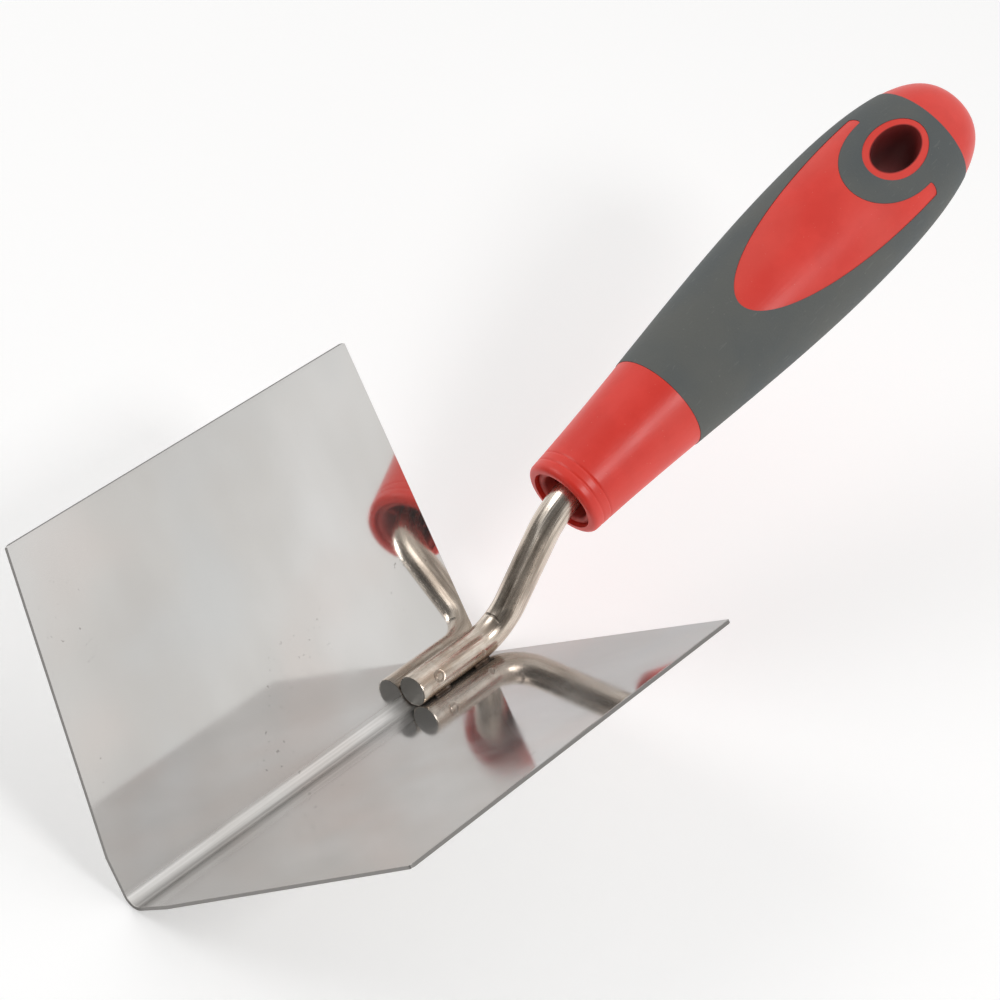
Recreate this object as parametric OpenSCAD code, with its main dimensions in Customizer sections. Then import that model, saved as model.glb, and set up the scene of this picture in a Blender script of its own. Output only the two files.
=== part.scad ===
// Inside corner trowel: a sheet of stainless steel folded to a right angle,
// a cranked round shank welded into the fold, and a two-material handle.
//
// The origin is the theoretical sharp corner at the nose, where the two outer
// faces and the two raked front edges of the blade would meet: the corner of
// the room that the tool dresses.
// +X runs back along the fold to the handle, +Z bisects the two wings, and
// +Y is the side of the left wing.

/* [Blade] */
// Length of the blade along the fold
blade_l = 110; // [90:1:130]
// Width of each wing, from the sharp corner to its outer edge
wing_w = 75; // [60:1:90]
// Thickness of the sheet
sheet_t = 0.8; // [0.6:0.1:1.2]
// Inside radius of the fold
fold_r = 2.6; // [1.6:0.1:3.4]
// How far each front edge runs back by the outer corner of its wing
front_rake = 12; // [6:0.5:16]
// How far back from the origin the nose is cut square across the fold
nose_x = 1.9; // [1:0.1:3]
// Radius of the outer corners of the wings
corner_r = 1.2; // [0.8:0.1:3]

/* [Shank] */
// Diameter of the round bar
shank_d = 7; // [6:0.5:8]
// Where the bar starts, measured back from the nose
shank_start = 84.7; // [70:0.1:90]
// Where the low bend's two straight lines meet
bend_x = 112.8; // [108:0.1:116]
// Slope of the cranked stretch above the fold
crank_angle = 72; // [60:1:80]
// Centreline radius of the low bend
low_bend_r = 11; // [9:0.5:13]
// Centreline radius of the bend at the handle
high_bend_r = 15; // [10:0.5:16]
// Height of the handle's axis where the collar begins
collar_z = 37.5; // [34:0.5:42]
// How deep the bar reaches into the handle
shank_depth = 78; // [60:1:88]

/* [Welds] */
// Length of each weld beside the bar
weld_l = 5; // [4:0.5:10]
// Radius of the weld's rounded face
weld_r = 0.8; // [0.6:0.1:1]
// How far a weld's centre lies from the bar's centre, along the wing and towards it
weld_out = 1.6; // [1.4:0.1:1.8]
weld_drop = 3.3; // [3.2:0.05:3.4]
// Where the two pairs of welds sit, measured from the bar's front end
weld_at = [3.8, 16.8];

/* [Handle] */
// Where the collar begins, measured back from the nose
collar_x = 125; // [123:0.5:128]
// Length of the handle along its axis
handle_l = 135; // [120:1:150]
// Slope of the handle's axis
handle_tilt = 21; // [15:0.5:28]
// How far the handle is turned about its own axis on the bar
handle_turn = 14; // [0:1:20]
// Width of the collar at its front face
collar_w = 19.2; // [18:0.1:22]
// Length of the bare collar in front of the grey sleeve
collar_l = 31.6; // [24:0.1:40]
// Greatest width of the handle
belly_w = 32.6; // [28:0.1:36]
// Where that greatest width lies
belly_at = 93; // [80:1:100]
// Where the grey sleeve ends and the bare butt begins
butt_at = 122.8; // [118.5:0.1:126]
// Thickness of the grey sleeve
sleeve_t = 1.8; // [1.2:0.1:2.4]
// Radius of the collar's front rim
rim_r = 1.2; // [0.6:0.1:1.6]

/* [Hang hole] */
// Centre of the hole along the handle
hole_at = 109.6; // [106:0.1:111]
// Length of the hole along the handle
hole_l = 14.6; // [12:0.1:16]
// Width of the hole across the handle
hole_w = 9.5; // [8:0.1:11]
// Width of the bare lip round the hole
lip_w = 1.8; // [1.2:0.1:2.2]

/* [Panels] */
// Front tip of the bare panel in the sleeve
panel_tip = 56; // [50:1:62]
// Where the panel's oval is widest
panel_mid = 104; // [100:0.5:108]
// Rear end of the panel's two horns
panel_end = 111; // [106:0.5:113]
// Width of the panel at its horns
panel_w = 25.8; // [22:0.1:27]
// Length of the grey band's oval round the lip
band_l = 31.8; // [28:0.1:36]
// Width of the grey band on each side of the lip
band_w = 3.8; // [3:0.1:5]

/* [Liner] */
// Bore of the collar, which holds the liner tube
collar_bore = 15; // [14:0.1:15.4]
// Inside diameter of the liner tube
liner_bore = 11.5; // [10.5:0.1:12]
// Length of the liner tube
liner_l = 40; // [30:1:46]
// How far the liner lies behind the collar's front face
liner_back = 0.8; // [0.4:0.1:2]
// Number of ribs that grip the bar
rib_count = 6; // [4:1:8]
// Thickness of each rib
rib_t = 1; // [0.8:0.1:1.4]

/* [Hidden] */
$fn = 64;

fit = 0.05;                                  // radial clearance of a push fit
seat = 0.03;                                 // gap between the bar and each wing before it is welded
cut = 60;                                    // half size of the cutting blocks
sides = 40;                                  // sides of a handle section
oval_sides = 36;                             // sides of an oval hole, lip or band
panel_sides = 48;                            // sides of the panel's longer oval
shank_r = shank_d / 2;
end_bevel = 0.4;                             // bevel round the bar's cut end
swell = 0.02;                                // how much a bend is fatter than the bar
lap = 0.3;                                   // how far a straight run reaches into a bend

// The fold: its arcs share one centre, above the sharp corner.
fold_out_r = fold_r + sheet_t;
nose_v = wing_w * nose_x / front_rake;        // where the square nose meets the raked edge

// The bar lies on both wings, just clear of the fold's bottom.
shank_z = (shank_r + seat + sheet_t) * sqrt(2);

// The crank: a steep line up from the low bend meets the handle's axis.
low_cut = low_bend_r * tan(crank_angle / 2);
high_turn = crank_angle - handle_tilt;
high_cut = high_bend_r * tan(high_turn / 2);
meet_t = (sin(handle_tilt) * (bend_x - collar_x) - cos(handle_tilt) * (shank_z - collar_z))
       / sin(high_turn);
meet_x = bend_x + meet_t * cos(crank_angle);
meet_z = shank_z + meet_t * sin(crank_angle);
crank_l = meet_t - low_cut - high_cut;
// Where the high bend ends, measured along the handle's axis from the collar's face.
high_end = (meet_x - collar_x) * cos(handle_tilt) + (meet_z - collar_z) * sin(handle_tilt) + high_cut;

// The handle's outline: width rises to the belly, then closes like an egg.
function rise(t) = 0.55 * t * t * (3 - 2 * t) + 0.45 * sin(90 * t);
function close_in(e) = pow(1 - pow(e, 2.4), 1 / 3.2);
function width_at(s) = s < belly_at
    ? collar_w + (belly_w - collar_w) * rise(s / belly_at)
    : belly_w * close_in(min(1, (s - belly_at) / (handle_l - belly_at)));
// The section is nearly round at the collar and a little flatter at the belly.
function flatness(s) = 0.97 - 0.10 * min(1, max(0, (s - 20) / 70));
function rim_drop(s) = s < rim_r ? rim_r - sqrt(rim_r * rim_r - pow(rim_r - s, 2)) : 0;
rim_steps = 3;
front_steps = 12;
rear_steps = 14;
tail_reach = 0.985;                          // how near the last ring comes to the tail's tip
stations = concat(
    [for (i = [0:rim_steps - 1]) rim_r * (1 - cos(90 * i / rim_steps))],
    [for (i = [0:front_steps]) rim_r + (belly_at - rim_r) * i / front_steps],
    [for (i = [1:rear_steps]) belly_at + (handle_l - belly_at) * sin(90 * tail_reach * i / rear_steps)]
);

// The blade's section, as an L whose arms lie on the first quadrant's axes.
module bent_corner(radius, at) {
    difference() {
        translate([at, at]) square(radius);
        translate([at + radius, at + radius]) circle(radius);
    }
}

module section() {
    difference() {
        square(wing_w);
        bent_corner(fold_out_r, 0);
        difference() {
            translate([sheet_t, sheet_t]) square(wing_w);
            bent_corner(fold_r, sheet_t);
        }
    }
}

// What is trimmed off one flat wing: its raked front edge and its two rounded outer corners.
module trim_outline() {
    lean = atan(front_rake / wing_w);
    front_tangent = corner_r * tan((90 - lean) / 2);
    polygon([
        [nose_x - 1, nose_v],
        [nose_x, nose_v],
        [front_rake, wing_w],
        [front_rake, wing_w + 1],
        [nose_x - 1, wing_w + 1]
    ]);
    difference() {
        polygon([
            [front_rake, wing_w],
            [front_rake + front_tangent, wing_w + 0.5],
            [front_rake + front_tangent, wing_w - corner_r],
            [front_rake - front_tangent * sin(lean), wing_w - front_tangent * cos(lean)]
        ]);
        translate([front_rake + front_tangent, wing_w - corner_r]) circle(corner_r);
    }
    difference() {
        translate([blade_l - corner_r, wing_w - corner_r]) square(2 * corner_r);
        translate([blade_l - corner_r, wing_w - corner_r]) circle(corner_r);
    }
}

module trim() {
    translate([0, 0, -1]) linear_extrude(sheet_t + 2) trim_outline();
}

module blade() {
    color([0.78, 0.78, 0.77]) rotate([45, 0, 0]) difference() {
        translate([nose_x, 0, 0]) rotate([90, 0, 90]) linear_extrude(blade_l - nose_x) section();
        trim();
        mirror([0, 1, -1]) trim();
    }
}

// A bar's straight run starts here and goes along the local +X.
module bar(length, r = shank_r) {
    rotate([0, 90, 0]) cylinder(h = length, r = r);
}

// A bend in the XZ plane turns the local +X up by the angle given, or down if it is negative.
// Bent bar swells a little, so each bend swallows the ends of its two straight runs.
module bend(radius, angle) {
    mirror([0, 0, angle < 0 ? 1 : 0]) translate([0, 0, radius]) rotate([90, 0, 0]) rotate([0, 0, -90]) {
        rotate_extrude(angle = abs(angle)) translate([radius, 0]) circle(shank_r + swell);
    }
}

module shank() {
    low_run = bend_x - low_cut - shank_start;
    color([0.62, 0.58, 0.53]) {
        translate([shank_start, 0, shank_z]) {
            rotate([0, 90, 0]) cylinder(h = end_bevel, r1 = shank_r - end_bevel, r2 = shank_r);
            translate([end_bevel, 0, 0]) bar(low_run - end_bevel + lap);
            translate([low_run, 0, 0]) bend(low_bend_r, crank_angle);
        }
        translate([bend_x, 0, shank_z]) rotate([0, -crank_angle, 0]) {
            translate([low_cut - lap, 0, 0]) bar(crank_l + 2 * lap);
            translate([low_cut + crank_l, 0, 0]) bend(high_bend_r, -high_turn);
        }
        on_axis() translate([high_end - lap, 0, 0]) bar(shank_depth - high_end + lap);
    }
}

// Weld metal fills the cusp between the bar and one wing, outside the line where they meet. The
// section looks back along the fold, with local +X square on to the wing and +Y up along it.
module weld_run() {
    linear_extrude(weld_l) rotate(45) difference() {
        intersection() {
            translate([weld_drop, weld_out]) circle(weld_r);
            square([shank_r + seat, cut]);
        }
        circle(shank_r);
    }
}

module welds() {
    color([0.35, 0.28, 0.22]) {
        for (at = weld_at, side = [0, 1]) {
            translate([shank_start + at, 0, shank_z]) mirror([0, side, 0]) {
                rotate([0, 90, 0]) weld_run();
            }
        }
    }
}

// Puts its children on the handle's axis, with +X along it.
module on_axis() {
    translate([collar_x, 0, collar_z]) rotate([0, -handle_tilt, 0]) children();
}

module on_handle() {
    on_axis() rotate([handle_turn, 0, 0]) children();
}

// The whole outside of the handle, drawn in by the inset.
module grip_form(inset = 0) {
    rings = len(stations);
    points = [for (s = stations, i = [0:sides - 1])
        let (half = width_at(s) / 2 - rim_drop(s) - min(inset, width_at(s) / 3), turn = 360 * i / sides)
        [s, half * cos(turn), half * flatness(s) * sin(turn)]];
    skin = [for (r = [0:rings - 2], i = [0:sides - 1])
        let (a = r * sides + i, b = r * sides + (i + 1) % sides)
        each [[a, a + sides, b], [b, a + sides, b + sides]]];
    front = [for (i = [0:sides - 1]) i];
    back = [for (i = [0:sides - 1]) (rings - 1) * sides + sides - 1 - i];
    polyhedron(points, concat([front], skin, [back]));
}

function oval(length, width, at, n = oval_sides) =
    [for (i = [0:n - 1]) [at + length / 2 * cos(360 * i / n), width / 2 * sin(360 * i / n)]];

module through(outline) {
    translate([0, 0, -cut]) linear_extrude(2 * cut) polygon(outline);
}

module hang_hole() {
    through(oval(hole_l, hole_w, hole_at));
}

// The lip round the hole: bare core, as a column through the handle.
module lip() {
    through(oval(hole_l + 2 * lip_w, hole_w + 2 * lip_w, hole_at));
}

// The bare panel: a long oval cut off square at its horns, less the grey band round the lip.
module panel() {
    band_across = hole_w + 2 * lip_w + 2 * band_w;
    difference() {
        through(oval(2 * (panel_mid - panel_tip), panel_w, panel_mid, panel_sides));
        through(oval(band_l, band_across, hole_at));
        translate([panel_end, -cut, -cut]) cube(2 * cut);
    }
}

// The room that the sleeve's rubber fills, all the way through.
module sleeve_room() {
    difference() {
        translate([collar_l, -cut, -cut]) cube([butt_at - collar_l, 2 * cut, 2 * cut]);
        grip_form(sleeve_t);
        lip();
        panel();
    }
}

module handle_core() {
    color([0.84, 0.25, 0.21]) on_handle() difference() {
        grip_form();
        sleeve_room();
        hang_hole();
        translate([-1, 0, 0]) bar(liner_back + liner_l + 1, collar_bore / 2);
        bar(shank_depth, shank_r + fit);
    }
}

module liner_tube() {
    rib_gap = 3;
    rib_root = 0.5;
    rib_foot = shank_r + fit;
    rib_h = liner_bore / 2 - rib_foot + rib_root;
    color([0.88, 0.45, 0.40]) on_axis() translate([liner_back, 0, 0]) {
        difference() {
            bar(liner_l, collar_bore / 2 - fit);
            translate([-1, 0, 0]) bar(liner_l + 2, liner_bore / 2);
        }
        for (i = [0:rib_count - 1]) {
            rotate([360 * (i + 0.5) / rib_count, 0, 0]) translate([rib_gap, -rib_t / 2, rib_foot]) {
                cube([liner_l - 2 * rib_gap, rib_t, rib_h]);
            }
        }
    }
}

module grip_sleeve() {
    color([0.36, 0.38, 0.38]) on_handle() intersection() {
        grip_form();
        sleeve_room();
    }
}

blade();
shank();
welds();
handle_core();
liner_tube();
grip_sleeve();
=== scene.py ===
# %% [markdown]
# # An inside corner trowel
# This lesson dresses a finished design: a polished right-angle blade, a cranked bar welded into
# its fold, and a red and grey handle. The design file already holds every size, so each step here
# only asks what one piece of the real tool looks like, and how Blender can make it.

# %% Load the frame
from math import atan2, cos, pi, radians, sin, sqrt, tan

import bmesh
import bpy
from mathutils import Matrix, Vector


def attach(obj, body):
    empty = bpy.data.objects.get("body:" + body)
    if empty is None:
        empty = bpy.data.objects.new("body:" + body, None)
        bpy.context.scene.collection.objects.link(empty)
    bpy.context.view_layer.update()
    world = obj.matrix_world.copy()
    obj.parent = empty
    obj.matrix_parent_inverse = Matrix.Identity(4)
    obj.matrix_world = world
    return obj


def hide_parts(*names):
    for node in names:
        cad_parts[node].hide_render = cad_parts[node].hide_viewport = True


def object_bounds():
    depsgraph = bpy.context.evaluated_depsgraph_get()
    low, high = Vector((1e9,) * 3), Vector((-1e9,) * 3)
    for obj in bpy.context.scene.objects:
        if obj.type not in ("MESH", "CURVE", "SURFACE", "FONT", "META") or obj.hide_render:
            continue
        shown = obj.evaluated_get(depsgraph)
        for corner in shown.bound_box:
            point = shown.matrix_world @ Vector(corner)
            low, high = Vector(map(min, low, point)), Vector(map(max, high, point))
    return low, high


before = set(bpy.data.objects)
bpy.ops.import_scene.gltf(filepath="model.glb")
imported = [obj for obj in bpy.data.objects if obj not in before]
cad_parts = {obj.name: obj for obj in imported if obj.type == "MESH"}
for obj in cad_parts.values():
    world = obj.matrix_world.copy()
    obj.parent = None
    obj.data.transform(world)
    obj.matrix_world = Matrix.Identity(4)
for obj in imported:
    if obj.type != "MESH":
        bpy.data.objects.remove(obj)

MM = 0.001
design_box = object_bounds()
print("the design's box:", [tuple(round(v / MM, 1) for v in corner) for corner in design_box])

# %% [markdown]
# ## Shader sums in plain Python
# A material is a web of nodes, and wiring sums by hand hides what they mean. One small class wraps
# a socket, so that `streaks * 0.3 + 0.2` adds its own Math nodes. Colours go through Mix nodes,
# because a Math node would turn a colour grey.

# %% The shader helper
class Wire:
    def __init__(self, web, socket):
        self.web, self.socket = web, socket

    def sum(self, operation, *values):
        return self.web.node("ShaderNodeMath", {"operation": operation}, *values)

    def of(self, operation): return self.sum(operation, self)
    def __add__(self, other): return self.sum("ADD", self, other)
    def __radd__(self, other): return self.sum("ADD", other, self)
    def __sub__(self, other): return self.sum("SUBTRACT", self, other)
    def __rsub__(self, other): return self.sum("SUBTRACT", other, self)
    def __mul__(self, other): return self.sum("MULTIPLY", self, other)
    def __rmul__(self, other): return self.sum("MULTIPLY", other, self)
    def __truediv__(self, other): return self.sum("DIVIDE", self, other)
    def __neg__(self): return self.sum("MULTIPLY", self, -1)
    def __abs__(self): return self.sum("ABSOLUTE", self)
    def __pow__(self, other): return self.sum("POWER", self, other)


class Web:
    """One material's nodes. `finish` is its Principled shader."""

    def __init__(self, name):
        self.material = bpy.data.materials.new(name)
        self.material.use_nodes = True
        self.tree = self.material.node_tree
        self.finish = self.tree.nodes["Principled BSDF"]

    def node(self, kind, settings, *values, out=0, **named):
        made = self.tree.nodes.new(kind)
        for key, value in settings.items():
            if key == "stops":
                self.set_stops(made.color_ramp, value)
            else:
                setattr(made, key, value)
        for key, value in list(enumerate(values)) + list(named.items()):
            socket = made.inputs[key if isinstance(key, int) else key.replace("_", " ")]
            self.feed(socket, value)
        return Wire(self, made.outputs[out])

    def set_stops(self, ramp, stops):
        while len(ramp.elements) < len(stops):
            ramp.elements.new(0.5)
        for element, (at, colour) in zip(ramp.elements, stops):
            element.position = at
            element.color = (*colour, 1) if isinstance(colour, tuple) else (colour, colour, colour, 1)

    def feed(self, socket, value):
        if isinstance(value, Wire):
            self.tree.links.new(value.socket, socket)
        elif isinstance(value, tuple) and len(value) == 3 and socket.type == "RGBA":
            socket.default_value = (*value, 1)
        else:
            socket.default_value = value

    def set(self, **sockets):
        for key, value in sockets.items():
            self.feed(self.finish.inputs[key.replace("_", " ")], value)

    def place(self):
        return self.node("ShaderNodeTexCoord", {}, out=3)

    def attribute(self, name):
        return self.node("ShaderNodeAttribute", {"attribute_name": name}, out=1)

    def split(self, vector):
        made = self.tree.nodes.new("ShaderNodeSeparateXYZ")
        self.feed(made.inputs[0], vector)
        return [Wire(self, socket) for socket in made.outputs]

    def join(self, x, y, z):
        return self.node("ShaderNodeCombineXYZ", {}, x, y, z)

    def stretch(self, vector, scale, turn=(0, 0, 0)):
        return self.node("ShaderNodeMapping", {}, Vector=vector, Scale=scale, Rotation=turn)

    def noise(self, vector, scale, detail=2.0, rough=0.5):
        return self.node("ShaderNodeTexNoise", {}, Vector=vector, Scale=scale, Detail=detail,
                         Roughness=rough)

    def ramp(self, value, *stops):
        return self.node("ShaderNodeValToRGB", {"stops": stops}, value)

    def step(self, value, low, high):
        return self.node("ShaderNodeMapRange", {"interpolation_type": "SMOOTHSTEP"}, value, low, high)

    def blend(self, how_much, below, above):
        made = self.tree.nodes.new("ShaderNodeMix")
        made.data_type = "RGBA"
        for socket, value in zip((made.inputs[0], made.inputs[6], made.inputs[7]), (how_much, below, above)):
            self.feed(socket, value)
        return Wire(self, made.outputs[2])

    def bump(self, height, depth, strength=1.0):
        return self.node("ShaderNodeBump", {}, Height=height, Distance=depth, Strength=strength)


print("shader helper ready")

# %% [markdown]
# ## The sizes that every piece shares
# The blade is a sheet folded to a right angle, so its two outer faces would meet in a sharp line:
# that line is the X axis. The handle's own axis slopes up behind it, and the handle sits turned a
# little on the bar. A matrix for that tilted frame lets its pieces be made lying straight.

# %% Sizes in millimetres, and the handle's frame
blade_l, wing_w, sheet_t, fold_r = 110.0, 75.0, 0.8, 2.6
front_rake, nose_x, corner_r = 12.0, 1.9, 1.2
shank_r, shank_start, bend_x = 3.5, 84.7, 112.8
crank_angle, low_bend_r, high_bend_r = radians(72), 11.0, 15.0
handle_tilt, handle_turn = radians(21), radians(14)
collar_x, collar_z, handle_l, collar_l, butt_at = 125.0, 37.5, 135.0, 31.6, 122.8
fold_out_r = fold_r + sheet_t
fold_z = fold_out_r * sqrt(2)
seat = 0.03   # the gap between the bar and each wing
shank_z = (shank_r + seat + sheet_t) * sqrt(2)

axis_frame = (Matrix.Translation((collar_x * MM, 0, collar_z * MM))
              @ Matrix.Rotation(-handle_tilt, 4, "Y") @ Matrix.Scale(MM, 4))
handle_frame = axis_frame @ Matrix.Rotation(handle_turn, 4, "X")
print("collar's centre, mm:", tuple(round(v / MM, 1) for v in axis_frame.translation))

# %% [markdown]
# ## Turning a bmesh into a piece of the tool
# Every piece ends the same way: its place goes into its mesh, it rides on the tool's one body, it
# names the finish it belongs to, and it stands in for the plain design solid.

# %% Finish a piece
def finish_piece(name, bm, material, node, place=Matrix.Scale(MM, 4), sharp=35):
    bmesh.ops.transform(bm, matrix=place, verts=bm.verts)
    mesh = bpy.data.meshes.new(name)
    bm.to_mesh(mesh)
    bm.free()
    piece = bpy.data.objects.new(name, mesh)
    bpy.context.scene.collection.objects.link(piece)
    mesh.materials.append(material)
    mesh.shade_smooth()
    mesh.set_sharp_from_angle(angle=radians(sharp))
    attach(piece, "root")
    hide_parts(node)
    triangles = sum(len(face.vertices) - 2 for face in mesh.polygons)
    print(f"{piece.name}: {triangles} triangles")
    return piece


# %% [markdown]
# ## Polished stainless sheet
# The blade is mirror-polished, then handled: it is nearly a mirror, with soft smears that dull it
# in patches, warm and cool casts, and a few fine pits. The bump is very shallow, because a deep one
# would break up the reflections that make it look like steel. The smears also take a little off
# Metallic, which veils what is reflected, and a grey Specular Tint dims it at glancing angles.

# %% The sheet's finish
def polished_sheet():
    web = Web("polished_sheet")
    place = web.place()
    smears = web.noise(web.stretch(place, (1, 0.55, 0.55), (0.6, 0, 0.3)), 46, 4.0, 0.6)
    cloud = web.noise(web.stretch(place, (1, 0.6, 0.6)), 20, 3.0, 0.55)
    blush = web.noise(place, 27, 2.0)
    pits = web.noise(place, 900, 2.0)
    worn = web.step(web.noise(place, 33, 1.0), 0.55, 0.72)
    tone = web.ramp(cloud, (0.30, (0.66, 0.64, 0.62)), (0.52, (0.75, 0.735, 0.715)),
                    (0.72, (0.86, 0.85, 0.84)))
    warm = web.blend(web.step(blush, 0.50, 0.72) * 0.55, tone, (0.80, 0.735, 0.70))
    cool = web.blend(web.step(blush, 0.50, 0.28) * 0.45, warm, (0.745, 0.765, 0.775))
    pitted = web.blend(web.step(pits, 0.68, 0.73) * worn * 0.6, cool, (0.34, 0.32, 0.30))
    in_fold = 1 - web.step(abs(web.split(place)[1]) / MM, fold_r * 0.5, fold_r * 1.3)
    drawn = web.noise(web.stretch(place, (14, 1500, 1500)), 1.0, 2.0)
    folded = web.blend(in_fold * web.step(drawn, 0.40, 0.65) * 0.35, pitted, (0.40, 0.38, 0.36))
    cut = web.node("ShaderNodeAttribute", {"attribute_name": "cut_edge"}, out=2)
    edged = web.blend(cut, folded, (0.26, 0.25, 0.24))
    film = web.step(smears, 0.35, 0.75)
    rough = 0.055 + 0.07 * film + 0.30 * in_fold + 0.28 * cut
    waviness = web.noise(web.stretch(place, (0.7, 1, 1)), 17, 1.0)
    web.set(Base_Color=edged, Metallic=0.95 - 0.09 * film, Roughness=rough,
            Specular_Tint=(0.60, 0.60, 0.61), Normal=web.bump(waviness + 0.03 * in_fold * drawn, 0.0003, 0.3))
    return web.material


sheet_finish = polished_sheet()

# %% [markdown]
# ## The blade
# A press brake makes this shape from a flat blank: it rolls a round fold and leaves two flat
# wings. The same moves work here. An edge is spun a quarter turn to make the fold, and the fold's
# two ends are extruded into wings. Planes trim the raked front edges, but the edge starts a little
# way back, which leaves the nose cut square across the fold.

# %% Fold the blade
def fold_blade():
    bm = bmesh.new()
    reach = fold_out_r * sqrt(0.5)
    start = [bm.verts.new((x, -reach, reach)) for x in (nose_x, blade_l)]
    edge = bm.edges.new(start)
    bmesh.ops.spin(bm, geom=[*start, edge], cent=(0, 0, fold_z), axis=(1, 0, 0), dvec=(0, 0, 0),
                   angle=pi / 2, steps=32, use_merge=False, use_duplicate=False)
    for side in (-1, 1):
        along = Vector((0, side, 1)).normalized()
        rim = [e for e in bm.edges if all(abs(v.co.y - side * reach) < 1e-4 for v in e.verts)]
        wing = []
        for run in (0.5, wing_w - fold_out_r - 1.0, 0.5):
            grown = bmesh.ops.extrude_edge_only(bm, edges=rim)["geom"]
            new_verts = [g for g in grown if isinstance(g, bmesh.types.BMVert)]
            rim = [g for g in grown if isinstance(g, bmesh.types.BMEdge) and
                   all(v in new_verts for v in g.verts)]
            bmesh.ops.translate(bm, verts=new_verts, vec=along * run)
            wing += [g for g in grown if isinstance(g, bmesh.types.BMFace)]
        rake_way = Vector((wing_w, 0, 0)) - along * front_rake
        parts = wing + list({e for f in wing for e in f.edges}) + list({v for f in wing for v in f.verts})
        bmesh.ops.bisect_plane(bm, geom=parts, plane_co=(0, 0, 0),
                               plane_no=rake_way.normalized(), clear_inner=True, dist=1e-5)
    return bm


blade_bm = fold_blade()
print("blade blank:", len(blade_bm.faces), "faces")

# %% [markdown]
# The wings' outer corners are eased, and then the skin gets its thickness. A guillotined edge
# is never razor sharp, so every cut edge gets a fine bevel, which is what catches the light.

# %% Round its corners and thicken it
def thicken_blade(bm):
    far = wing_w * sqrt(0.5) - 0.01
    corners = [v for v in bm.verts if abs(v.co.y) > far and len(v.link_edges) == 2]
    bmesh.ops.bevel(bm, geom=corners, offset=corner_r, segments=6, profile=0.5, affect="VERTICES",
                    material=-1)
    bmesh.ops.recalc_face_normals(bm, faces=bm.faces)
    outward = [f for f in bm.faces if f.normal.z < 0]
    if len(outward) < len(bm.faces) / 2:
        bmesh.ops.reverse_faces(bm, faces=bm.faces)
    bmesh.ops.solidify(bm, geom=bm.faces[:], thickness=sheet_t)
    cut_edges = [e for e in bm.edges if len(e.link_faces) == 2 and e.calc_face_angle() > radians(50)]
    bmesh.ops.bevel(bm, geom=cut_edges, offset=0.1, segments=2, profile=0.5, affect="EDGES",
                    material=-1)
    print("cut edges bevelled:", len(cut_edges))


thicken_blade(blade_bm)
blade = finish_piece("blade_sheet", blade_bm, sheet_finish, "blade", sharp=20)

# %% [markdown]
# The guillotine leaves the cut edges dull and darker than the faces. A face attribute marks them,
# so one material can carry both surfaces.

# %% Mark the cut edges
def mark_cut_edges(piece):
    marks = piece.data.attributes.new("cut_edge", "FLOAT", "FACE")
    for face in piece.data.polygons:
        up_wing = (abs(face.center.y) + face.center.z) * sqrt(0.5) / MM
        marks.data[face.index].value = float(abs(face.normal.x) > 0.5 or up_wing > wing_w - 0.12)
    print("cut-edge faces:", sum(m.value > 0.5 for m in marks.data))


mark_cut_edges(blade)

# %% [markdown]
# ## Bar steel
# The bar was drawn, bent and polished by hand, so its lines run along it and it is a little browner
# than the sheet where the weld's heat reached it. Broad dark and pale bands along it are partly
# drawn lines and partly painted reflection, dark streaks of the room painted into its colour. Its
# mesh carries two attributes, how far along the bar a point is and how far round, so that the lines
# and bands can follow the bends. Two small pressed rings show where the welding electrodes bore on
# it, and a nick where it was bent.

# %% The bar's finish
bend_nick = 29.0   # where the bending tool pinched the bar, in millimetres from its cut end
weld_marks = ((5.7, -0.112, 1.15, 0.45), (19.4, -0.19, 0.3, 0.6))


def mark_ring(web, run, turn, at, round_at, radius, width):
    """A pressed ring on the bar: at and round_at place it, radius and width are in millimetres."""
    aside = (turn - round_at) * (2 * pi * shank_r)
    away = ((run / MM - at) ** 2 + aside ** 2) ** 0.5
    return 1 - web.step(abs(away - radius), width * 0.3, width)


def bar_steel():
    web = Web("bar_steel")
    place = web.place()
    run, turn, end = web.split(web.attribute("bar_place"))
    circle = web.join(run * 34, (turn * 2 * pi).of("COSINE") * 1.5, (turn * 2 * pi).of("SINE") * 1.5)
    streaks = web.noise(circle, 1.0, 3.0, 0.6)
    fine_ring = web.join(run * 60, (turn * 2 * pi).of("COSINE") * 9, (turn * 2 * pi).of("SINE") * 9)
    fine_lines = web.noise(fine_ring, 1.0, 2.0)
    patches = web.noise(place, 150, 4.0, 0.65)
    heat = web.step(run, 0.034, 0.016) * web.step(patches, 0.36, 0.62)
    # The streaks' dark and pale bands in the base colour are partly drawn lines and partly painted reflection
    # of dark surroundings.
    base = web.ramp(streaks, (0.34, (0.34, 0.285, 0.235)), (0.46, (0.66, 0.575, 0.49)),
                    (0.62, (0.88, 0.795, 0.70)))
    lined = web.blend(web.step(fine_lines, 0.52, 0.78) * 0.5, base, (0.28, 0.245, 0.215))
    warm = web.blend(heat * 0.6, lined, (0.44, 0.32, 0.235))
    rings = [mark_ring(web, run, turn, *mark) for mark in weld_marks]
    ring = rings[0].sum("MAXIMUM", *rings)
    marked = web.blend(ring * web.step(patches, 0.30, 0.60) * 0.6, warm, (0.20, 0.15, 0.12))
    nick = ((1 - web.step(abs(run / MM - bend_nick + 6 * abs(turn)), 0.15, 0.55))
            * (1 - web.step(abs(turn - 0.03), 0.08, 0.12)))
    nicked = web.blend(nick * 0.75, marked, (0.16, 0.13, 0.11))
    end_face = web.blend(end, nicked, (0.36, 0.35, 0.33))
    rough = (0.21 + 0.14 * web.step(patches, 0.40, 0.8) + 0.12 * web.step(fine_lines, 0.4, 0.8)
             + 0.25 * end + 0.15 * ring)
    height = streaks * 0.6 + fine_lines * 0.5 + patches * 0.5 - ring * 1.2 - nick * 1.5
    web.set(Base_Color=end_face, Metallic=1.0, Roughness=rough, Normal=web.bump(height, 0.00022, 0.5))
    return web.material


bar_finish = bar_steel()

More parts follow.
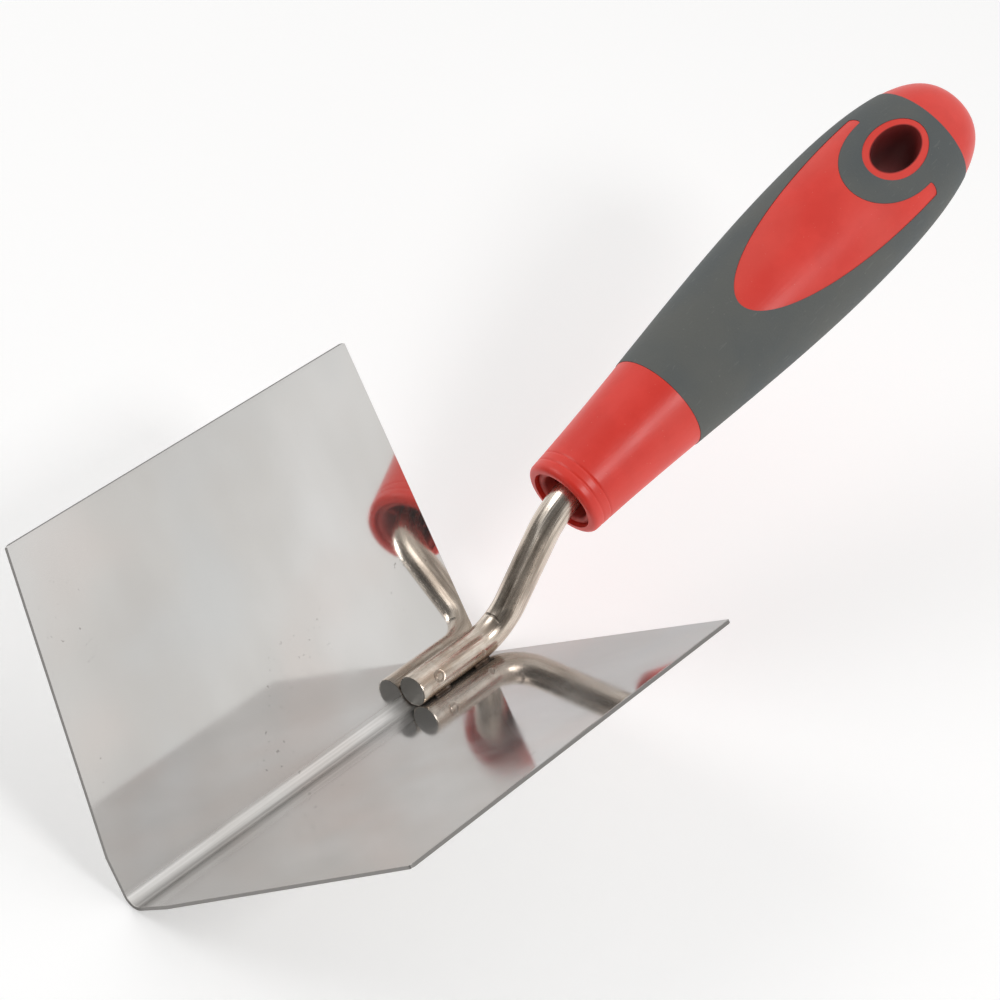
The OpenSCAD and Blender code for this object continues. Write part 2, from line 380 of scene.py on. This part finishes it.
# %% [markdown]
# ## The bar
# A round bar with two bends could be a curve with a bevel, but spinning a ring of edges is closer
# to the bench: push the ring straight, swing it round a centre, push it straight again.

# %% Push and swing the bar's ring
# Each cut is how far a bend starts before the corner it rounds off; crank is corner to corner.
high_turn = crank_angle - handle_tilt
low_cut, high_cut = low_bend_r * tan(crank_angle / 2), high_bend_r * tan(high_turn / 2)
crank = (sin(handle_tilt) * (bend_x - collar_x)
         - cos(handle_tilt) * (shank_z - collar_z)) / sin(high_turn)


def push_ring(bm, ring, step_by):
    grown = bmesh.ops.extrude_edge_only(bm, edges=ring)["geom"]
    verts = [g for g in grown if isinstance(g, bmesh.types.BMVert)]
    bmesh.ops.translate(bm, verts=verts, vec=step_by)
    return [g for g in grown if isinstance(g, bmesh.types.BMEdge) and all(v in verts for v in g.verts)]


def swing_ring(bm, ring, centre, angle, steps):
    for _ in range(steps):
        grown = bmesh.ops.extrude_edge_only(bm, edges=ring)["geom"]
        verts = [g for g in grown if isinstance(g, bmesh.types.BMVert)]
        bmesh.ops.rotate(bm, verts=verts, cent=centre,
                         matrix=Matrix.Rotation(-angle / steps, 3, "Y"))
        ring = [g for g in grown if isinstance(g, bmesh.types.BMEdge) and
                all(v in verts for v in g.verts)]
    return ring


def bend_bar():
    bm = bmesh.new()
    bmesh.ops.create_circle(bm, segments=48, radius=shank_r, cap_ends=False)
    bmesh.ops.rotate(bm, verts=bm.verts, cent=(0, 0, 0), matrix=Matrix.Rotation(pi / 2, 3, "Y"))
    bmesh.ops.translate(bm, verts=bm.verts, vec=(shank_start, 0, shank_z))
    first_ring = list(bm.edges)
    ring = first_ring
    low_run = bend_x - low_cut - shank_start
    for _ in range(12):
        ring = push_ring(bm, ring, Vector((low_run / 12, 0, 0)))
    ring = swing_ring(bm, ring, (bend_x - low_cut, 0, shank_z + low_bend_r), crank_angle, 24)
    up = Vector((cos(crank_angle), 0, sin(crank_angle)))
    for _ in range(8):
        ring = push_ring(bm, ring, up * (crank - low_cut - high_cut) / 8)
    corner = Vector((bend_x, 0, shank_z)) + up * crank
    right_of_up = Vector((up.z, 0, -up.x))
    high_centre = corner - up * high_cut + right_of_up * high_bend_r
    ring = swing_ring(bm, ring, high_centre, -high_turn, 20)
    out = Vector((cos(handle_tilt), 0, sin(handle_tilt)))
    ring = push_ring(bm, ring, out * 60)
    bmesh.ops.holes_fill(bm, edges=ring)
    cap = bmesh.ops.holes_fill(bm, edges=first_ring)["faces"]
    bmesh.ops.inset_region(bm, faces=cap, thickness=0.35, depth=0.0)
    bmesh.ops.bevel(bm, geom=first_ring, offset=0.3, segments=2, profile=0.5, affect="EDGES", material=-1)
    bmesh.ops.recalc_face_normals(bm, faces=bm.faces)
    return bm


bar_bm = bend_bar()
print("bar:", len(bar_bm.faces), "faces")

# %% [markdown]
# The two attributes are read off the finished shape, in the bar's own upright plane. Each vertex
# finds its foot on the centre line: on the flat run, on the low bend's arc, or on the high bend's.
# A clamped angle also covers the straight runs that lead into and out of a bend.

# %% Mark the bar for its drawn lines
def along_arc(point, centre, start_way, radius, turn):
    """The foot's length from the arc's start, and the point's height off the centre line."""
    left = Vector((-start_way.y, start_way.x))
    outward = -left if turn > 0 else left
    off = point - centre
    angle = min(abs(turn), max(0.0, atan2(off.dot(start_way), off.dot(outward))))
    way = start_way * cos(angle) - outward * sin(angle)
    foot = centre + (outward * cos(angle) + start_way * sin(angle)) * radius
    lift = (point - foot).dot(Vector((-way.y, way.x)))
    return radius * angle + (point - foot).dot(way), lift


def mark_bar(piece):
    mesh = piece.data
    marks = mesh.attributes.new("bar_place", "FLOAT_VECTOR", "POINT")
    flat, steep = Vector((1, 0)), Vector((cos(crank_angle), sin(crank_angle)))
    low_start = Vector((bend_x - low_cut, shank_z))
    low_centre = low_start + Vector((0, low_bend_r))
    high_start = Vector((bend_x, shank_z)) + steep * (crank - high_cut)
    high_centre = high_start + Vector((steep.y, -steep.x)) * high_bend_r
    to_low = low_start.x - shank_start
    to_high = to_low + low_bend_r * crank_angle + crank - low_cut - high_cut
    for mark, vert in zip(marks.data, mesh.vertices):
        x, y, z = vert.co / MM
        point = Vector((x, z))
        if (point - high_start).dot(steep) > 0:
            run, lift = along_arc(point, high_centre, steep, high_bend_r, -high_turn)
            run += to_high
        else:
            run, lift = along_arc(point, low_centre, flat, low_bend_r, crank_angle)
            run += to_low
        on_end = run < 0.01 and sqrt(y * y + lift * lift) < shank_r - 0.25
        mark.vector = (run * MM, atan2(y, lift) / (2 * pi), 1.0 if on_end else 0.0)
    return piece


bar = mark_bar(finish_piece("shank_bar", bar_bm, bar_finish, "shank", sharp=40))

# %% [markdown]
# ## Weld beads
# Four short welds, deep in the cusps, hold the bar in the fold. Each is a row of overlapping
# puddles, so it swells and narrows along its length. Pushing a ring along and rescaling it at each
# step gives those ripples, and closes both ends to a point.

# %% Lay the weld beads
weld_l, weld_starts = 5.0, (3.8, 16.8)
bead_up, bead_near, bead_r = 1.55, 3.3, 0.5


def resize_ring(bm, ring, ratio):
    bmesh.ops.scale(bm, vec=(1, *ratio), verts=list({v for e in ring for v in e.verts}))


def weld_bead(bm, at, side):
    bead = bmesh.new()
    puddles, steps = 5, 40
    sizes = [bead_r * (0.84 + 0.16 * abs(cos(pi * puddles * i / steps)))
             * min(1.0, sqrt(max(0.0004, 1 - abs(2 * i / steps - 1) ** 6))) for i in range(steps + 1)]
    bmesh.ops.create_circle(bead, segments=16, radius=sizes[0], cap_ends=False)
    bmesh.ops.rotate(bead, verts=bead.verts, cent=(0, 0, 0), matrix=Matrix.Rotation(pi / 2, 3, "Y"))
    ring = list(bead.edges)
    first_ring = ring
    for last, size in zip(sizes, sizes[1:]):
        ring = push_ring(bead, ring, Vector((weld_l / steps, 0, 0)))
        resize_ring(bead, ring, (size / last, size / last))
    bmesh.ops.holes_fill(bead, edges=ring)
    bmesh.ops.holes_fill(bead, edges=first_ring)
    bmesh.ops.translate(bead, verts=bead.verts,
                        vec=(shank_start + at, side * (bead_near + bead_up) * sqrt(0.5),
                             shank_z - (bead_near - bead_up) * sqrt(0.5)))
    bmesh.ops.recalc_face_normals(bead, faces=bead.faces)
    one = bpy.data.meshes.new("one_bead")
    bead.to_mesh(one)
    bead.free()
    bm.from_mesh(one)
    bpy.data.meshes.remove(one)


def weld_finish():
    web = Web("weld_metal")
    place = web.place()
    heat = web.noise(place, 700, 2.0)
    ripple = web.noise(web.stretch(place, (2600, 500, 500)), 1.0, 2.0)
    colour = web.ramp(heat, (0.35, (0.05, 0.04, 0.035)), (0.55, (0.12, 0.08, 0.055)),
                      (0.75, (0.20, 0.17, 0.15)))
    web.set(Base_Color=colour, Metallic=0.9, Roughness=0.34 + 0.25 * heat,
            Normal=web.bump(ripple, 0.0001, 0.6))
    return web.material


beads_bm = bmesh.new()
for weld_at in weld_starts:
    for wing_side in (-1, 1):
        weld_bead(beads_bm, weld_at, wing_side)
beads = finish_piece("weld_beads", beads_bm, weld_finish(), "welds")

# %% [markdown]
# ## The handle's outline
# The handle is a turned-looking form with a nearly round section: slim at the collar, widest
# behind the middle, closed like an egg. A ring is pushed from station to station along the axis
# and rescaled at each, which is a loft made with two operators.

# %% Width, height and stations along the handle
collar_w, belly_w, belly_at, rim_r = 19.2, 32.6, 93.0, 1.2
sleeve_t, proud = 1.8, 0.12
groove_at, groove_deep = (2.7, 4.9), 0.16


def rise(t):
    return 0.55 * t * t * (3 - 2 * t) + 0.45 * sin(pi / 2 * t)


def width_at(s):
    if s < belly_at:
        return collar_w + (belly_w - collar_w) * rise(s / belly_at)
    past = min(1.0, (s - belly_at) / (handle_l - belly_at))
    return belly_w * (1 - past ** 2.4) ** (1 / 3.2)


def flatness(s):
    return 0.97 - 0.10 * min(1.0, max(0.0, (s - 20) / 70))


def rim_drop(s):
    return rim_r - sqrt(rim_r ** 2 - (rim_r - s) ** 2) if s < rim_r else 0.0


def groove(s):
    return max(groove_deep * max(0.0, 1 - abs(s - at) / 0.35) for at in groove_at)


stations = [rim_r * (1 - cos(pi / 2 * i / 6)) for i in range(6)]
stations += [1.2 + 0.175 * i for i in range(26)]
stations += [6.0 + (belly_at - 6.0) * i / 58 for i in range(59)]
stations += [belly_at + (handle_l - belly_at) * sin(pi / 2 * 0.985 * i / 40) for i in range(1, 41)]
print("widest:", belly_w, "mm at", belly_at, "mm; stations:", len(stations))

# %% Loft the handle's form
grip_sides = 112


def grip_form(inset=0.0):
    bm = bmesh.new()
    sizes = []
    for s in stations:
        half = max(0.4, width_at(s) / 2 - rim_drop(s) - groove(s) - min(inset, width_at(s) / 3))
        sizes.append((half, half * flatness(s)))
    bmesh.ops.create_circle(bm, segments=grip_sides, radius=1, cap_ends=False)
    bmesh.ops.rotate(bm, verts=bm.verts, cent=(0, 0, 0), matrix=Matrix.Rotation(pi / 2, 3, "Y"))
    ring = list(bm.edges)
    first_ring = ring
    resize_ring(bm, ring, (sizes[0][0], sizes[0][1]))
    for i in range(1, len(stations)):
        ring = push_ring(bm, ring, Vector((stations[i] - stations[i - 1], 0, 0)))
        resize_ring(bm, ring, (sizes[i][0] / sizes[i - 1][0], sizes[i][1] / sizes[i - 1][1]))
    bmesh.ops.holes_fill(bm, edges=ring)
    bmesh.ops.holes_fill(bm, edges=first_ring)
    bmesh.ops.recalc_face_normals(bm, faces=bm.faces)
    return bm


# %% [markdown]
# ## Cutters
# In the mould, shut-offs keep the grey rubber away from the collar, the butt, the lip round the
# hole and the bare panel. The same outlines make prisms here, run right through the handle, so the
# panel and the lip show on the underside too. The sleeve's prisms are a hair larger than the
# core's, and that leaves the fine parting line between the two plastics.

# %% Shapes that cut the handle
hole_at, hole_l, hole_w, lip_w = 109.6, 14.6, 9.5, 1.8
panel_tip, panel_mid, panel_end, panel_w = 56.0, 104.0, 111.0, 25.8
band_l, band_w = 31.8, 3.8
collar_bore, bore_deep, bar_deep = 15.0, 40.8, 78.0


def oval_prism(length, width, at, segments=128):
    bm = bmesh.new()
    bmesh.ops.create_circle(bm, segments=segments, radius=1, cap_ends=True)
    bmesh.ops.scale(bm, vec=(length / 2, width / 2, 1), verts=bm.verts)
    bmesh.ops.translate(bm, verts=bm.verts, vec=(at, 0, -30))
    grown = bmesh.ops.extrude_face_region(bm, geom=bm.faces[:])["geom"]
    bmesh.ops.translate(bm, verts=[g for g in grown if isinstance(g, bmesh.types.BMVert)], vec=(0, 0, 60))
    bmesh.ops.recalc_face_normals(bm, faces=bm.faces)
    return bm


def slab(start, end):
    bm = bmesh.new()
    bmesh.ops.create_cube(bm, size=1)
    bmesh.ops.scale(bm, vec=(end - start, 70, 70), verts=bm.verts)
    bmesh.ops.translate(bm, verts=bm.verts, vec=((start + end) / 2, 0, 0))
    return bm


def round_cutter(start, end, radius):
    bm = bmesh.new()
    bmesh.ops.create_cone(bm, segments=64, radius1=radius, radius2=radius, depth=end - start, cap_ends=True)
    bmesh.ops.rotate(bm, verts=bm.verts, cent=(0, 0, 0), matrix=Matrix.Rotation(pi / 2, 3, "Y"))
    bmesh.ops.translate(bm, verts=bm.verts, vec=((start + end) / 2, 0, 0))
    return bm


def carve(base, *steps):
    """Applies (operation, shape) steps to a bmesh through exact Boolean modifiers."""
    made = []
    for bm in (base, *(shape for _, shape in steps)):
        mesh = bpy.data.meshes.new("carving")
        bm.to_mesh(mesh)
        bm.free()
        made.append(bpy.data.objects.new("carving", mesh))
        bpy.context.scene.collection.objects.link(made[-1])
    for (operation, _), cutter in zip(steps, made[1:]):
        cut = made[0].modifiers.new("cut", "BOOLEAN")
        cut.solver, cut.operation, cut.object = "EXACT", operation, cutter
    shapes = bpy.context.evaluated_depsgraph_get()
    result = bmesh.new()
    result.from_mesh(made[0].evaluated_get(shapes).data)
    for thing in made:
        mesh = thing.data
        bpy.data.objects.remove(thing)
        bpy.data.meshes.remove(mesh)
    bmesh.ops.remove_doubles(result, verts=result.verts, dist=0.002)
    return result


def panel_prism(grow=0.0):
    bm = carve(oval_prism(2 * (panel_mid - panel_tip + grow), panel_w + 2 * grow, panel_mid, 192),
               ("DIFFERENCE", oval_prism(band_l - 2 * grow, hole_w + 2 * (lip_w + band_w - grow), hole_at)),
               ("DIFFERENCE", slab(panel_end + grow, 170)))
    tips = [e for e in bm.edges if all(v.co.x > panel_end + grow - 0.01 for v in e.verts)
            and abs(e.verts[0].co.z - e.verts[1].co.z) > 1]
    bmesh.ops.bevel(bm, geom=tips, offset=1.15, segments=8, profile=0.5, affect="EDGES", material=-1)
    return bm


print("panel from", panel_tip, "to", panel_end, "mm; hole", hole_l, "by", hole_w, "mm")

# %% [markdown]
# ## The red core and the grey sleeve
# The core is the whole form with the sleeve's room taken out of it, then bored for the bar, its
# liner and the hanging hole. The sleeve is the same form kept only in that room. The rubber stands
# a tenth of a millimetre proud of the red plastic, as overmoulded rubber does.

# %% Carve the core and the sleeve
def carve_core():
    room = carve(slab(collar_l, butt_at), ("DIFFERENCE", grip_form(sleeve_t)),
                 ("DIFFERENCE", oval_prism(hole_l + 2 * lip_w, hole_w + 2 * lip_w, hole_at)),
                 ("DIFFERENCE", panel_prism()))
    return carve(grip_form(proud), ("DIFFERENCE", room),
                 ("DIFFERENCE", oval_prism(hole_l, hole_w, hole_at)),
                 ("DIFFERENCE", round_cutter(-5, bore_deep, collar_bore / 2)),
                 ("DIFFERENCE", round_cutter(bore_deep - 1, bar_deep, shank_r + 0.05)))


def carve_sleeve(gap=0.05):
    return carve(grip_form(), ("INTERSECT", slab(collar_l + gap, butt_at - gap)),
                 ("DIFFERENCE", grip_form(sleeve_t - 0.02)),
                 ("DIFFERENCE", oval_prism(hole_l + 2 * (lip_w + gap), hole_w + 2 * (lip_w + gap), hole_at)),
                 ("DIFFERENCE", panel_prism(gap)))


core_bm = carve_core()
sleeve_bm = carve_sleeve()
print("core faces:", len(core_bm.faces), " sleeve faces:", len(sleeve_bm.faces))

# %% [markdown]
# ## Moulded red plastic
# Hard moulded plastic has a satin skin: a broad soft highlight, a faint mottle, and rubbed paler
# patches where it is handled. The Mapping node turns the tool's coordinates into the handle's own,
# so that the wear follows the handle and the hole's wall can be darkened with painted shade.

# %% The core's finish
handle_turns = (handle_turn, -handle_tilt, 0.0)


def on_handle(web):
    return web.node("ShaderNodeMapping", {"vector_type": "TEXTURE"}, Vector=web.place(),
                    Location=(collar_x * MM, 0, collar_z * MM), Rotation=handle_turns)


def red_plastic():
    web = Web("red_plastic")
    place = on_handle(web)
    along, across, up = web.split(place)
    mottle = web.noise(place, 90, 4.0, 0.6)
    rubbed = web.noise(web.stretch(place, (0.6, 1, 1)), 55, 2.0)
    specks = web.noise(place, 2300, 1.0)
    lines = web.noise(web.stretch(place, (220, 1500, 1500)), 1.0, 1.0)
    from_hole = ((along / MM - hole_at) ** 2 / (hole_l / 2) ** 2
                 + (across / MM) ** 2 / (hole_w / 2) ** 2) ** 0.5
    in_hole = 1 - web.step(from_hole, 1.0, 1.07)
    base = web.blend(web.step(mottle, 0.35, 0.7), (0.74, 0.034, 0.020), (0.81, 0.045, 0.029))
    paler = web.blend(web.step(rubbed, 0.5, 0.75) * 0.35, base, (0.77, 0.092, 0.068))
    dusty = web.blend(web.step(specks, 0.76, 0.80) * 0.35, paler, (0.85, 0.30, 0.24))
    # The hole's wall is darkened in the base colour: painted shade in the recess, not a stain.
    deep = web.blend(in_hole * 0.85, dusty, (0.12, 0.006, 0.006))
    rough = 0.30 + 0.10 * mottle + 0.10 * web.step(rubbed, 0.45, 0.7) + 0.45 * in_hole
    height = mottle * 0.5 + lines * 0.25 + specks * 0.12
    web.set(Base_Color=deep, Roughness=rough, Normal=web.bump(height, 0.0002, 0.35))
    return web.material


core = finish_piece("handle_core_moulding", core_bm, red_plastic(), "handle_core",
                    handle_frame, sharp=32)

# %% [markdown]
# ## Soft grey rubber
# The overmoulded sleeve is matt, with a fine spark-eroded grain from the mould, a slight cloudiness
# and the pale dust that rubber always picks up.

# %% The sleeve's finish
def grey_rubber():
    web = Web("grey_rubber")
    place = on_handle(web)
    cloud = web.noise(place, 38, 3.0, 0.6)
    grain = web.noise(place, 1900, 2.0)
    dust = web.noise(place, 1500, 2.0)
    scuffs = web.noise(web.stretch(place, (260, 1400, 1400), (0, 0, 0.4)), 1.0, 1.0)
    tone = web.blend(web.step(cloud, 0.3, 0.7), (0.098, 0.110, 0.112), (0.125, 0.130, 0.122))
    dusty = web.blend(web.step(dust, 0.70, 0.78) * 0.30, tone, (0.30, 0.30, 0.27))
    marked = web.blend(web.step(scuffs, 0.68, 0.74) * 0.18, dusty, (0.22, 0.23, 0.22))
    rough = 0.58 + 0.14 * cloud + 0.08 * grain
    web.set(Base_Color=marked, Roughness=rough,
            Normal=web.bump(grain * 0.6 + cloud * 0.8, 0.00022, 0.5))
    web.finish.inputs["Specular IOR Level"].default_value = 0.35
    return web.material


sleeve = finish_piece("grip_sleeve_moulding", sleeve_bm, grey_rubber(), "grip_sleeve",
                      handle_frame, sharp=32)

# %% [markdown]
# ## The liner tube in the collar's mouth
# A paler tube with six ribs grips the bar. Its ring is pushed forward along the outside, rolled
# over the rim and pushed back along the bore, which makes one wall with a rounded lip.

# %% Roll the liner tube and set its ribs
liner_l, liner_bore, liner_back, rib_count, rib_t = 40.0, 11.5, 0.8, 6, 1.0


def roll_liner():
    bm = bmesh.new()
    outer, inner = collar_bore / 2 - 0.05, liner_bore / 2
    lip = (outer - inner) / 2
    bmesh.ops.create_circle(bm, segments=72, radius=outer, cap_ends=False)
    bmesh.ops.rotate(bm, verts=bm.verts, cent=(0, 0, 0), matrix=Matrix.Rotation(pi / 2, 3, "Y"))
    bmesh.ops.translate(bm, verts=bm.verts, vec=(liner_back + liner_l, 0, 0))
    ring = list(bm.edges)
    first_ring = ring
    path = [(liner_back + lip, outer)]
    path += [(liner_back + lip - lip * sin(pi * i / 8), inner + lip + lip * cos(pi * i / 8))
             for i in range(1, 9)]
    path += [(liner_back + liner_l, inner)]
    x, radius = liner_back + liner_l, outer
    for next_x, next_radius in path:
        ring = push_ring(bm, ring, Vector((next_x - x, 0, 0)))
        resize_ring(bm, ring, (next_radius / radius,) * 2)
        x, radius = next_x, next_radius
    bmesh.ops.bridge_loops(bm, edges=ring + first_ring)
    bmesh.ops.recalc_face_normals(bm, faces=bm.faces)
    return bm


def add_ribs(bm):
    foot = shank_r + 0.05
    height = liner_bore / 2 - foot + 0.4
    for i in range(rib_count):
        grown = bmesh.ops.create_cube(bm, size=1)["verts"]
        bmesh.ops.scale(bm, vec=(liner_l - 6, rib_t, height), verts=grown)
        bmesh.ops.translate(bm, verts=grown, vec=(liner_back + liner_l / 2, 0, foot + height / 2))
        edges = list({e for v in grown for e in v.link_edges})
        eased = bmesh.ops.bevel(bm, geom=edges, offset=0.18, segments=2, profile=0.5, affect="EDGES",
                                material=-1)
        turned = list({v for f in eased["faces"] for v in f.verts})
        bmesh.ops.rotate(bm, verts=turned, cent=(0, 0, 0),
                         matrix=Matrix.Rotation(2 * pi * (i + 0.5) / rib_count - pi / 2, 3, "X"))


def liner_finish():
    web = Web("liner_plastic")
    place = on_handle(web)
    mottle = web.noise(place, 260, 3.0)
    drag = web.noise(web.stretch(place, (150, 1800, 1800)), 1.0, 1.0)
    colour = web.blend(web.step(mottle, 0.3, 0.7), (0.42, 0.030, 0.022), (0.60, 0.070, 0.055))
    web.set(Base_Color=colour, Roughness=0.50 + 0.14 * mottle, Normal=web.bump(drag, 0.0001, 0.5))
    return web.material


liner_bm = roll_liner()
add_ribs(liner_bm)
liner = finish_piece("liner_tube_moulding", liner_bm, liner_finish(), "liner_tube",
                     axis_frame, sharp=40)

# %% [markdown]
# ## The floor, the light and the camera

# %% Floor
def lay_floor():
    bm = bmesh.new()
    bmesh.ops.create_grid(bm, x_segments=1, y_segments=1, size=4.0)
    bmesh.ops.translate(bm, verts=bm.verts, vec=(0, 0, design_box[0][2] - 0.0002))
    mesh = bpy.data.meshes.new("floor")
    bm.to_mesh(mesh)
    bm.free()
    floor = bpy.data.objects.new("floor", mesh)
    bpy.context.scene.collection.objects.link(floor)
    web = Web("pale_floor")
    web.set(Base_Color=(0.82, 0.82, 0.82), Roughness=0.9, Emission_Color=(1, 1, 1), Emission_Strength=0.27)
    mesh.materials.append(web.material)
    return floor


lay_floor()

# %% Lights
def soft_box(name, at, aim, size, power, colour=(1, 1, 1)):
    light = bpy.data.lights.new(name, "AREA")
    light.shape = "RECTANGLE"
    light.size, light.size_y = size
    light.energy = power
    light.color = colour
    lamp = bpy.data.objects.new(name, light)
    lamp.location = at
    lamp.rotation_euler = (Vector(aim) - Vector(at)).to_track_quat("-Z", "Y").to_euler()
    bpy.context.scene.collection.objects.link(lamp)


aim = (0.17, 0.0, 0.05)
soft_box("side_box", (0.10, -0.60, 0.72), aim, (0.26, 0.2), 1.9)
soft_box("back_box", (-0.35, 0.75, 0.8), aim, (0.7, 0.5), 2.5)


def studio_air():
    """A pale room, dimmer overhead. One dark side gives the round bar its dark streaks, and one
    bright side is what the two wings show after the light has bounced off both of them."""
    world = bpy.data.worlds.new("studio")
    bpy.context.scene.world = world
    world.use_nodes = True
    tree = world.node_tree
    back = tree.nodes["Background"]
    way = tree.nodes.new("ShaderNodeTexCoord")
    parts = tree.nodes.new("ShaderNodeSeparateXYZ")
    ramp = tree.nodes.new("ShaderNodeValToRGB")
    both = tree.nodes.new("ShaderNodeMath")
    both.operation = "MULTIPLY"
    for place, (side, edge, middle, gain) in enumerate(room_sides):
        facing = tree.nodes.new("ShaderNodeVectorMath")
        facing.operation = "DOT_PRODUCT"
        facing.inputs[1].default_value = Vector(side).normalized()
        shade = tree.nodes.new("ShaderNodeMapRange")
        shade.interpolation_type = "SMOOTHSTEP"
        for socket, value in zip(shade.inputs[1:5], (edge, middle, 1.0, gain)):
            socket.default_value = value
        tree.links.new(way.outputs["Generated"], facing.inputs[0])
        tree.links.new(facing.outputs["Value"], shade.inputs[0])
        tree.links.new(shade.outputs[0], both.inputs[place])
    tree.links.new(way.outputs["Generated"], parts.inputs[0])
    tree.links.new(parts.outputs["Z"], ramp.inputs[0])
    tree.links.new(ramp.outputs[0], back.inputs[0])
    tree.links.new(both.outputs[0], back.inputs[1])
    for element, (at, grey) in zip(ramp.color_ramp.elements, ((0.30, 0.84), (0.75, 0.66))):
        element.position = at
        element.color = (grey, grey * 0.995, grey * 0.985, 1)


# Each side: its direction, the cosines where it starts and is full, and how strong it is.
room_sides = (((-0.72, -0.36, 0.55), 0.55, 0.90, 0.2), ((0.62, -0.12, 0.78), 0.85, 0.95, 1.5))
studio_air()

# %% Camera
def set_camera():
    camera = bpy.data.cameras.new("camera")
    camera.lens = 120.6
    camera.sensor_width = 36
    holder = bpy.data.objects.new("camera", camera)
    heading, dip, roll = radians(59.68), radians(41.99), radians(-14.56)
    forward = Vector((sin(heading) * cos(dip), cos(heading) * cos(dip), -sin(dip)))
    right = forward.cross(Vector((0, 0, 1))).normalized()
    up = right.cross(forward)
    turned_up = up * cos(roll) + right * sin(roll)
    turned_right = forward.cross(turned_up)
    holder.matrix_world = Matrix.Translation((-0.3374, -0.2558, 0.5089)) @ Matrix(
        (turned_right, turned_up, -forward)).transposed().to_4x4()
    bpy.context.scene.collection.objects.link(holder)
    bpy.context.scene.camera = holder


set_camera()
bpy.context.scene.view_settings.view_transform = "Standard"
